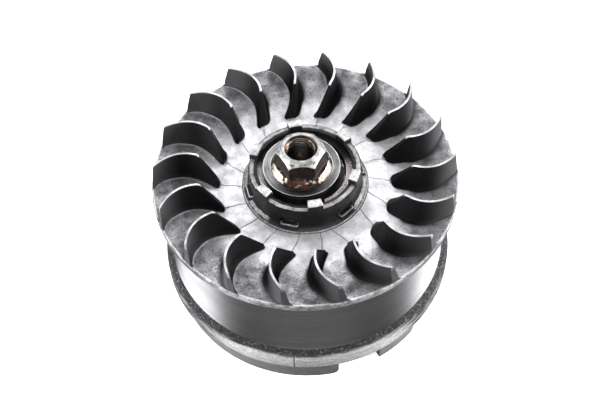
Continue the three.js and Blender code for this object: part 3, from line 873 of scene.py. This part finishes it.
def spun_mesh(name, outline, steps, materials=()):
    """A solid of revolution round its own Z axis, where the outline's first and last points are."""
    points = [(0, 0, outline[0][1] * MM)]
    faces = []
    for r, z in outline[1:-1]:
        for i in range(steps):
            turn = 2 * math.pi * i / steps
            points.append((r * math.cos(turn) * MM, r * math.sin(turn) * MM, z * MM))
    points.append((0, 0, outline[-1][1] * MM))
    rings = len(outline) - 2
    for i in range(steps):
        j = (i + 1) % steps
        faces.append((0, 1 + j, 1 + i))
        for k in range(rings - 1):
            a, b = 1 + k * steps, 1 + (k + 1) * steps
            faces.append((a + i, a + j, b + j, b + i))
        a = 1 + (rings - 1) * steps
        faces.append((a + i, a + j, len(points) - 1))
    return mesh_from(name, points, faces, materials)


shoe_bottom, shoe_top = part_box("pole_shoe_1")[0].z / MM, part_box("pole_shoe_1")[1].z / MM
magnet_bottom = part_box("magnet_1")[0].z / MM
for pole in range(pole_count):
    middle = pole_phase + 360 / pole_count * pole
    label = str(pole + 1)
    size = (magnet_span, magnet_radii, magnet_bottom, shoe_top)
    magnet = block("magnet_block_" + label, middle, *size, magnet_material)
    finish_piece(magnet, "flywheel", ["magnet_" + label])
    size = (shoe_span, shoe_radii, shoe_bottom, shoe_top)
    shoe = object_from(block("shoe_block_" + label, middle, *size, shoe_material))
    for side, name in ((-screw_side, "a"), (screw_side, "b")):
        lie = Matrix.Rotation(math.radians(middle + side), 4, "Z")
        lie = lie @ Matrix.Translation((shoe_radii[0] * MM, 0, screw_height * MM))
        lie = lie @ Matrix.Rotation(math.pi / 2, 4, "Y")
        sink = [(0, -1.5), (screw_head + 0.3, -1.5), (screw_head + 0.3, 1.0)]
        sink += [(2.3, 2.9), (2.3, 8), (0, 8)]
        cut(shoe, spun_mesh("hole", sink, 32), lie)
        head = [(0, 0.4), (screw_head - 0.4, 0.4), (screw_head - 0.1, 0.5), (screw_head, 0.8)]
        head += [(screw_head, 1.0), (2.1, 2.7), (2.0, 2.9), (2.0, 7.6), (0, 7.6)]
        screw = object_from(spun_mesh("screw_" + label + name, head, 40, [screw_material]))
        screw.matrix_world = lie
        half, long, deep = screw_slot / 2 * MM, 5 * MM, 1.5 * MM
        box_points = [(x, y, z) for x in (-half, half) for y in (-long, long) for z in (-deep, deep)]
        box_faces = [(0, 1, 3, 2), (4, 6, 7, 5), (0, 4, 5, 1)]
        box_faces += [(2, 3, 7, 6), (0, 2, 6, 4), (1, 5, 7, 3)]
        slot_turn = Matrix.Rotation(0.6 * pole + side, 4, "Z")
        cut(screw, mesh_from("slot", box_points, box_faces), lie @ slot_turn)
        finish_piece(screw, "flywheel", ["pole_screw_" + label + name])
    finish_piece(shoe, "flywheel", ["pole_shoe_" + label])


# ---- Starter dog cup ----
# A turned cup of blackened steel on the aluminium, riveted down by the hub's six tenons. Its rim
# carries six milled dogs, whose tops and edges the starter has rubbed bright.

cup_low, cup_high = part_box("starter_dog_cup")
cup_radius = cup_high.x / MM
cup_bottom = cup_low.z / MM
dog_top = cup_high.z / MM
cup_wall = 30.7
cup_bore = 26.0
band_top = 91.4
dog_count = 6
dog_phase = 39.0
dog_width = 15.5
spot_angle = 228.0  # a rubbed spot on the cup's foot
spot_half = 2.6
tenon_count = 6
tenon_phase = 12.5
tenon_radius = 31.2
tenon_size = (9.8, 3.4)
tenon_top = 81.4

# Blackened steel that shows bare metal where it is rubbed.
black_material, tree = new_material("blackened_steel")
marks = group(tree, turning, 2200.0, 2.5)
skins = group(tree, skin, 2.2, 0.45, 0.42)
oxide_and_shade = blend(tree, skins["Tone"], (0.006, 0.006, 0.0065), (0.018, 0.018, 0.019))
oxide_and_shade = blend(tree, times(tree, stain(tree, 14, 0.45, 0.75), 0.6), oxide_and_shade, (0.04,) * 3)
bright_steel = blend(
    tree,
    ramp(tree, painted(tree, "wear_and_highlight"), 0.7, 0.95),
    blend(tree, skins["Tone"], (0.18, 0.178, 0.176), (0.40, 0.395, 0.39)),
    blend(tree, skins["Tone"], (0.30, 0.296, 0.293), (0.66, 0.655, 0.65)),
)
bright_steel = blend(tree, times(tree, skins["Pits"], 0.7), bright_steel, (0.05,) * 3)
rubbed_on = math_node(tree, "ADD", painted(tree, "wear_and_highlight"), times(tree, skins["Tone"], 0.3))
rubbed_on = ramp(tree, rubbed_on, 0.5, 0.75)
# painted shade: the cup's foot is darker next to the wall and lighter further out
oxide_and_shade = blend(tree, ramp(tree, marks["Radius"], 31.4 * MM, 33.8 * MM), oxide_and_shade, (0.05, 0.05, 0.052))
cup_colour = blend(tree, rubbed_on, oxide_and_shade, bright_steel)
rough = between(tree, rubbed_on, 0.38, 0.5)
surface(tree, cup_colour, 0.5, rough, skins["Height"], 0.08, specular=0.13)

dog_middles = [dog_phase + 360 / dog_count * i for i in range(dog_count)]
dog_bevel = 0.9
edge_steps = (0.06, 0.045, 0.03, 0.0, -0.35 * dog_bevel, -dog_bevel, -2 * dog_bevel)
dog_edges = [(middle + sign * dog_width / 2, sign) for middle in dog_middles for sign in (-1, 1)]
cup_angles = [a for a in np.arange(0, 360, 2.0) if min(abs(a - e) for e, _ in dog_edges) > 1.9]
cup_angles += [edge + sign * step for edge, sign in dog_edges for step in edge_steps]
cup_angles.sort()


def cup_top(angle):
    """Height of the rim and how worn it is there."""
    off = min(abs(unwrap(angle, middle) - middle) for middle in dog_middles)
    into = dog_width / 2 - off
    if into < -0.055:
        return band_top, 0.62
    if into < -0.04:
        return band_top + 0.3, 0.0
    if into < -0.02:
        return dog_top - 0.9, 0.0
    rounding = max(0.0, 1 - into / dog_bevel)
    return dog_top - 0.45 * rounding**2, 1.0


def cup_section(angle):
    top, wear_and_highlight = cup_top(angle)
    edge_worn = wear_and_highlight if wear_and_highlight > 0.9 else 0.0
    lip = 0.8
    flank = smooth(abs(math.cos(math.radians(angle))), 0.4, 0.85)
    rubbed_spot = math.exp(-(((unwrap(angle, spot_angle) - spot_angle) / spot_half) ** 2))
    # the foot is painted brighter on its left and right flanks, and at one rubbed spot
    foot_bright = max(0.75 * flank, rubbed_spot)
    line = [(cup_bore, cup_bottom), (cup_radius, cup_bottom)]
    line += [(cup_radius, 77.2), (cup_radius, 77.6, 1.0), (cup_radius - 0.12, 77.95, 1.0)]
    line += [(cup_radius - 0.4, 78.1, 0.9), (cup_radius - 0.8, 78.25, 0.4 * flank)]
    line += [(33.2, 78.6, foot_bright), (32.7, 79.0, foot_bright), (32.2, 79.6, foot_bright)]
    line += [(31.7, 80.5, 0.5 * foot_bright)]
    line += [(31.25, 81.6), (30.9, 82.9), (cup_wall, 84.2), (cup_wall, 88.0)]
    line += [(cup_wall, top - 1.0), (cup_wall, top - 0.5, edge_worn)]
    line += [(cup_wall - 0.2, top - 0.15, edge_worn), (cup_wall - lip, top, wear_and_highlight)]
    line += [(29.2, top, wear_and_highlight), (28.1, top, wear_and_highlight), (27.6, top, edge_worn), (26.9, top, edge_worn)]
    line += [(cup_bore + 0.15, top - 0.15, edge_worn), (cup_bore, top - 0.5, edge_worn)]
    line += [(cup_bore, top - 1.0), (cup_bore, 89.2), (cup_bore + 0.1, 89.0)]
    line += [(27.3, 89.0), (27.3, 86.5), (cup_bore, 86.4), (cup_bore, 82.0)]
    return line


def bar_mesh(name, size, corner, bottom, top, bevel, materials=()):
    """A bar with rounded ends in plan and a bevelled top, standing along its own X axis."""
    outline = []
    for sx, sy, start in ((1, 1, 0), (-1, 1, 90), (-1, -1, 180), (1, -1, 270)):
        for i in range(7):
            turn = math.radians(start + 15 * i)
            x = sx * (size[0] / 2 - corner) + corner * math.cos(turn)
            y = sy * (size[1] / 2 - corner) + corner * math.sin(turn)
            outline.append((x, y))
    levels = [(bottom, 0.0), (top - bevel, 0.0), (top - bevel * 0.3, bevel * 0.3), (top, bevel)]
    count = len(outline)
    points = []
    for height, inset in levels:
        for x, y in outline:
            shrink_x, shrink_y = 1 - 2 * inset / size[0], 1 - 2 * inset / size[1]
            points.append((x * shrink_x * MM, y * shrink_y * MM, height * MM))
    faces = [tuple(reversed(range(count)))]
    for level in range(len(levels) - 1):
        for i in range(count):
            j = (i + 1) % count
            a, b = level * count, (level + 1) * count
            faces.append((a + i, a + j, b + j, b + i))
    faces.append(tuple(range((len(levels) - 1) * count, len(levels) * count)))
    return mesh_from(name, points, faces, materials)


def round_axis(index):
    """Where tenon and mortise number index stand, long side along the cup's wall."""
    turn = math.radians(tenon_phase + 360 / tenon_count * index + 90)
    lie = Matrix.Rotation(turn, 4, "Z")
    return lie @ Matrix.Translation((0, -tenon_radius * MM, 0))


cup = object_from(lathe("dog_cup", cup_angles, cup_section, [black_material]))
mortise_gap = 0.45
for index in range(tenon_count):
    size = tuple(side + 2 * mortise_gap for side in tenon_size)
    cut(cup, bar_mesh("mortise", size, 1.65, cup_bottom - 1, 83.4, 0.01), round_axis(index))
finish_piece(cup, "flywheel", ["starter_dog_cup"])


# ---- Hub boss ----
# A turned steel hub: a long tube with the tapered bore and its keyway, a flange under the aluminium,
# and six tenons that come up through the cup's mortises and are riveted over.

hub_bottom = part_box("hub_boss")[0].z / MM
hub_seat = 81.6
hub_tube = 15.0
hub_flange = 34.2
taper_low, taper_high = 10.9, 8.7
keyway_width, keyway_depth = 4.0, 2.4

hub_material, tree = new_material("hub_steel")
marks = group(tree, turning, 1300.0, 2.0)
skins = group(tree, skin, 5.0, 0.6, 0.32)
hub_colour = blend(tree, marks["Lines"], (0.10, 0.098, 0.095), (0.2, 0.195, 0.19))
hub_colour = blend(tree, times(tree, skins["Tone"], 0.5), hub_colour, (0.07, 0.06, 0.05))
rubbed_and_lit = rubbed_and_lit_patches(tree, 3, 0.3, 0.6)
surface(tree, blend(tree, rubbed_and_lit, hub_colour, (0.5,) * 3), 0.9, 0.4, skins["Height"], 0.05)

# painted highlight: the tenons' bevels are bright, for the glint on their edges
bevel_highlight_material, tree = new_material("tenon_bevel_highlight")
skins = group(tree, skin, 1.6, 0.5, 0.35)
bevel_highlight_colour = blend(tree, skins["Tone"], (0.22, 0.22, 0.22), (0.62, 0.62, 0.62))
surface(tree, bevel_highlight_colour, 0.85, 0.36, skins["Height"], 0.06)

hub_outline = rounded(
    [
        (taper_low, hub_bottom, 0.6),
        (hub_tube, hub_bottom, 0.8),
        (hub_tube, 71.0, 1.0),
        (hub_flange, 71.0, 0.5),
        (hub_flange, 75.2, 0.3),
        (cup_bore - 0.4, 75.2, 0.0),
        (cup_bore - 0.4, hub_seat, 0.4),
        (taper_high, hub_seat, 0.5),
    ]
)
hub_angles = list(np.arange(0, 360, 2.5))
hub_materials = [hub_material, black_material, bevel_highlight_material]
hub = object_from(lathe("hub", hub_angles, lambda angle: hub_outline, hub_materials))
keyway_reach = taper_low + keyway_depth
keyway = bar_mesh("keyway", (keyway_width, keyway_reach), 0.3, 10, 66, 0.01)
cut(hub, keyway, Matrix.Translation((0, keyway_reach / 2 * MM, 0)))
for index in range(tenon_count):
    tenon_materials = [black_material, bevel_highlight_material]
    tenon = bar_mesh("tenon", tenon_size, 1.2, 73, tenon_top, 0.55, tenon_materials)
    # the bevels take the painted highlight material
    bevel = [0.999 > p.normal.z > 0.1 for p in tenon.polygons]
    tenon.polygons.foreach_set("material_index", [int(on) for on in bevel])
    cut(hub, tenon, round_axis(index), "UNION")
finish_piece(hub, "flywheel", ["hub_boss"])


# ---- Breaker cam and its pin ----
# A ground ring with one flat on the lower end of the hub, which opens the contact breaker. A short
# pin keys it to the hub.

cam_low, cam_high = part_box("breaker_cam")
cam_radius = 19.4
cam_flat = cam_high.x / MM
cam_bore = 15.3
cam_bottom, cam_top = cam_low.z / MM, cam_high.z / MM
cam_middle = (cam_bottom + cam_top) / 2


def cam_section(angle):
    turn = (angle + 180) % 360 - 180
    reach = cam_radius
    if abs(turn) < 80:
        reach = min(reach, cam_flat / math.cos(math.radians(turn)))
    return bar_section(cam_bore, reach, cam_bottom, cam_top, (0.4, 0.5, 0.5, 0.4), 3)


cam = object_from(lathe("cam_ring", list(np.arange(0, 360, 2.5)), cam_section, [hub_material]))
pin_lie = Matrix.Translation((0, 0, cam_middle * MM)) @ Matrix.Rotation(math.pi / 2, 4, "X")
cut(cam, spun_mesh("pin_hole", [(0, 12), (1.7, 12), (1.7, 22), (0, 22)], 24), pin_lie)
finish_piece(cam, "flywheel", ["breaker_cam"])
pin_outline = [(0, cam_bore + 0.1), (1.5, cam_bore + 0.1), (1.5, 18.9), (1.2, 19.25), (0, 19.3)]
pin = object_from(spun_mesh("cam_dowel", pin_outline, 24, [screw_material]))
pin.matrix_world = pin_lie
finish_piece(pin, "flywheel", ["cam_pin"])


# ---- Snap ring ----
# A flat open ring of spring steel in the cup's groove. It keeps the nut in the cup. Its ends are
# square, and a film of rust covers it. Its back half is painted dark as shade.

snap_low, snap_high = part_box("snap_ring")
snap_inner, snap_outer = 22.7, 26.9
snap_gap = (-141.0, -64.0)
snap_angles = list(np.linspace(snap_gap[1], snap_gap[0] + 360, 110))

rust_material, tree = new_material("spring_steel")
marks = group(tree, turning, 1500.0, 2.0)
skins = group(tree, skin, 2.0, 0.5, 0.45)
snap_colour = blend(tree, marks["Lines"], (0.32, 0.305, 0.305), (0.72, 0.69, 0.69))
rust_patch = times(tree, stain(tree, 5, 0.5, 0.68, 8.0), 0.6)
snap_colour = blend(tree, rust_patch, snap_colour, (0.34, 0.24, 0.23))
snap_colour = blend(tree, skins["Pits"], snap_colour, (0.05, 0.04, 0.04))
rubbed_and_lit = rubbed_and_lit_patches(tree, 4, 0.3, 0.6)
snap_colour = blend(tree, rubbed_and_lit, snap_colour, (0.8, 0.78, 0.78))
# painted shade over the ring's back half
snap_colour = blend(tree, painted(tree, "soot_and_shade"), snap_colour, (0.008, 0.007, 0.007))
surface(tree, snap_colour, 0.3, 0.5, skins["Height"], 0.12, specular=0.1)


def snap_section(angle):
    return bar_section(snap_inner, snap_outer, snap_low.z / MM, snap_high.z / MM, (0.3,) * 4)


# painted shade: dark over the back half of the ring
def snap_back_shade(angle):
    return 0.97 * smooth(math.sin(math.radians(angle)), 0.0, 0.35)


snap = lathe("snap", snap_angles, snap_section, [rust_material], closed=False, soot_and_shade=snap_back_shade)
finish_piece(snap, "flywheel", ["snap_ring"])


# ---- Washer ----
# A ground steel ring that sits on the nut's shoulder and lifts with it. Loose in the cup, it lies a
# little off the axis.

washer_low, washer_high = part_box("nut_washer")
loose_side = (washer_low.x + washer_high.x) / 2 / MM
washer_radius = (washer_high.x - washer_low.x) / 2 / MM
washer_inner = 16.9

washer_material, tree = new_material("washer_steel")
marks = group(tree, turning, 1800.0, 1.5)
washer_colour = blend(tree, marks["Lines"], (0.055, 0.055, 0.058), (0.15, 0.148, 0.154))
dark_patch = times(tree, stain(tree, 12, 0.35, 0.6), 0.8)
washer_colour = blend(tree, dark_patch, washer_colour, (0.03,) * 3)
rubbed_and_lit = rubbed_and_lit_patches(tree, 6, 0.2, 0.5)
# darker towards the front, from the mesh's mask
washer_colour = blend(tree, painted(tree, "soot_and_shade"), washer_colour, (0.02,) * 3)
washer_colour = blend(tree, rubbed_and_lit, washer_colour, (0.5, 0.5, 0.51))
surface(tree, washer_colour, 0.9, 0.34, marks["Height"], 0.03)

washer_sides = (washer_inner, washer_radius, washer_low.z / MM, washer_high.z / MM)
washer_outline = bar_section(*washer_sides, (0.2, 0.22, 0.22, 0.15))


# the washer is painted darker towards the front
def washer_front_darkening(angle):
    return 0.85 * smooth(-math.sin(math.radians(angle)), 0.35, 0.85)


def washer_section(angle):
    return washer_outline


washer = lathe("washer_ring", hub_angles, washer_section, [washer_material], soot_and_shade=washer_front_darkening)
washer.transform(Matrix.Translation((loose_side * MM, 0, 0)))
finish_piece(washer, "washer", ["nut_washer"])


# ---- Captive nut ----
# A browned steel nut with a flange under the snap ring, a conical collar and a chamfered hexagon. The
# collar is painted lit on its sides and shaded in front. Its fine thread is rusty, with painted
# highlights on its upper crests, and spanners have rubbed its top and corners bright.

nut_low, nut_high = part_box("captive_nut")
nut_bottom, nut_top = nut_low.z / MM, nut_high.z / MM
nut_flange = 23.9
across_flats = 24.0
chamfer_radius = 10.6
corner_radius = across_flats / 2 / math.cos(math.pi / 6)
chamfer_slope = 3.4 / (corner_radius - chamfer_radius)
thread_minor, thread_major, thread_pitch = 7.4, 8.3, 1.5
thread_mouth = 8.9

nut_material, tree = new_material("browned_steel")
skins = group(tree, skin, 4.0, 0.5, 0.35)
brown = blend(tree, skins["Tone"], (0.006, 0.005, 0.005), (0.02, 0.017, 0.015))
rust_spot = stain(tree, 5, 0.55, 0.68, 8.0)
brown = blend(tree, times(tree, rust_spot, 0.35), brown, (0.07, 0.022, 0.014))
nut_bright = blend(tree, skins["Tone"], (0.11, 0.108, 0.106), (0.40, 0.395, 0.39))
rubbed_on = math_node(tree, "ADD", painted(tree, "wear_and_highlight"), times(tree, skins["Tone"], 0.35))
rubbed_on = ramp(tree, rubbed_on, 0.62, 0.9)
nut_colour = blend(tree, rubbed_on, brown, nut_bright)
bare_metal = times(tree, rubbed_on, 0.7)
rough = between(tree, skins["Tone"], 0.34, 0.5)
surface(tree, nut_colour, bare_metal, rough, skins["Height"], 0.05, specular=0.13)

collar_material, tree = new_material("collar_highlight_and_shade")
skins = group(tree, skin, 3.0, 0.4, 0.4)
# the collar's cream tone is a painted highlight; its front is painted dark as shade, with rust spots
collar_colour = blend(tree, skins["Tone"], (0.34, 0.29, 0.22), (0.72, 0.65, 0.55))
rust_spot = stain(tree, 6, 0.45, 0.6, 8.0)
collar_front_shade = blend(tree, rust_spot, (0.006, 0.005, 0.005), (0.075, 0.026, 0.016))
side_highlight = math_node(tree, "ADD", painted(tree, "wear_and_highlight"), stain(tree, 3, 0.35, 0.65, 6.0))
collar_colour = blend(tree, ramp(tree, side_highlight, 0.75, 1.15), collar_front_shade, collar_colour)
collar_colour = blend(tree, skins["Pits"], collar_colour, (0.03, 0.022, 0.018))
surface(tree, collar_colour, 0.85, 0.3, skins["Height"], 0.08)

thread_material, tree = new_material("rusty_thread")
rust_spot = stain(tree, 4, 0.54, 0.7, 6.0)
thread_colour = blend(tree, rust_spot, (0.006, 0.005, 0.0045), (0.12, 0.05, 0.022))
# painted highlights on the thread's upper crests
rubbed_and_lit = rubbed_and_lit_patches(tree, 5, 0.3, 0.6)
surface(tree, blend(tree, rubbed_and_lit, thread_colour, (0.42, 0.33, 0.25)), 0.7, 0.36)

nut_angles = sorted(
    [*np.arange(0, 360, 3.0)]
    + [60 * i + side for i in range(6) for side in (-1.5, -0.6, -0.2, 0.2, 0.6, 1.5)]
)
thread_levels = list(np.arange(nut_top - 0.3, nut_bottom + 0.4, -0.2))


def hexagon_radius(angle):
    flat = across_flats / 2 / math.cos(math.radians(angle % 60 - 30))
    return min(flat, corner_radius - 0.14)


def thread_radius(angle, height):
    phase = (height / thread_pitch - angle / 360) % 1
    ridge = min(1.0, abs(phase - 0.5) * 2 * 1.25)
    return thread_minor + (thread_major - thread_minor) * ridge


def nut_section(angle):
    reach = hexagon_radius(angle)
    brow = nut_top - chamfer_slope * (reach - chamfer_radius)
    at_corner = smooth(reach, corner_radius - 0.6, corner_radius - 0.2)
    line = [(thread_major, nut_bottom), (nut_flange, nut_bottom)]
    line += [(nut_flange, 84.7, 0.6), (nut_flange - 0.2, 84.9, 0.6), (20.2, 84.9)]
    # painted light: the collar's sides are lit and its front shaded, through the mesh's mask
    side = smooth(abs(math.cos(math.radians(angle))), 0.5, 0.82)
    side *= smooth(-math.sin(math.radians(angle)), -0.15, 0.25)
    line += [(20.0, 85.1), (20.0, 90.0), (16.7, 90.1), (16.5, 90.3)]
    line += [(16.5, 93.0, side), (16.35, 93.5, side), (14.35, 96.2, side), (14.1, 96.4)]
    line += [(reach + 0.25, 96.45), (reach, 96.7), (reach, 100.0)]
    line += [(reach, brow - 0.5, 0.55 * at_corner), (reach, brow, 1.0)]
    line += [(reach - 0.1, brow + 0.1, 1.0)]
    line += [((reach + chamfer_radius) / 2, (brow + nut_top) / 2 + 0.03, 0.58)]
    line += [(chamfer_radius + 0.1, nut_top - 0.1, 1.0), (chamfer_radius - 0.1, nut_top, 1.0)]
    line += [(9.8, nut_top, 0.85), (thread_mouth + 0.1, nut_top, 1.0)]
    line += [(thread_mouth - 0.1, nut_top - 0.15, 0.3)]
    for z in thread_levels:
        r = max(thread_radius(angle, z), thread_mouth - 0.25 - (nut_top - 0.15 - z))
        # painted highlight on the crests near the mouth, fading to painted shade deep in the bore
        shallow = 1 - smooth(nut_top - z, 3.5, 8.5)
        line.append((r, z, shallow if r < thread_minor + 0.2 else 0.0))
    return line


collar_rows = range(9, 13)
first_thread_row = 24


def nut_face(row, column):
    if row >= first_thread_row:
        return 2
    return 1 if row in collar_rows else 0


nut_materials = [nut_material, collar_material, thread_material]
nut = lathe("nut", nut_angles, nut_section, nut_materials, nut_face)
nut.transform(Matrix.Translation((loose_side * MM, 0, 0)))
finish_piece(nut, "nut", ["captive_nut"])
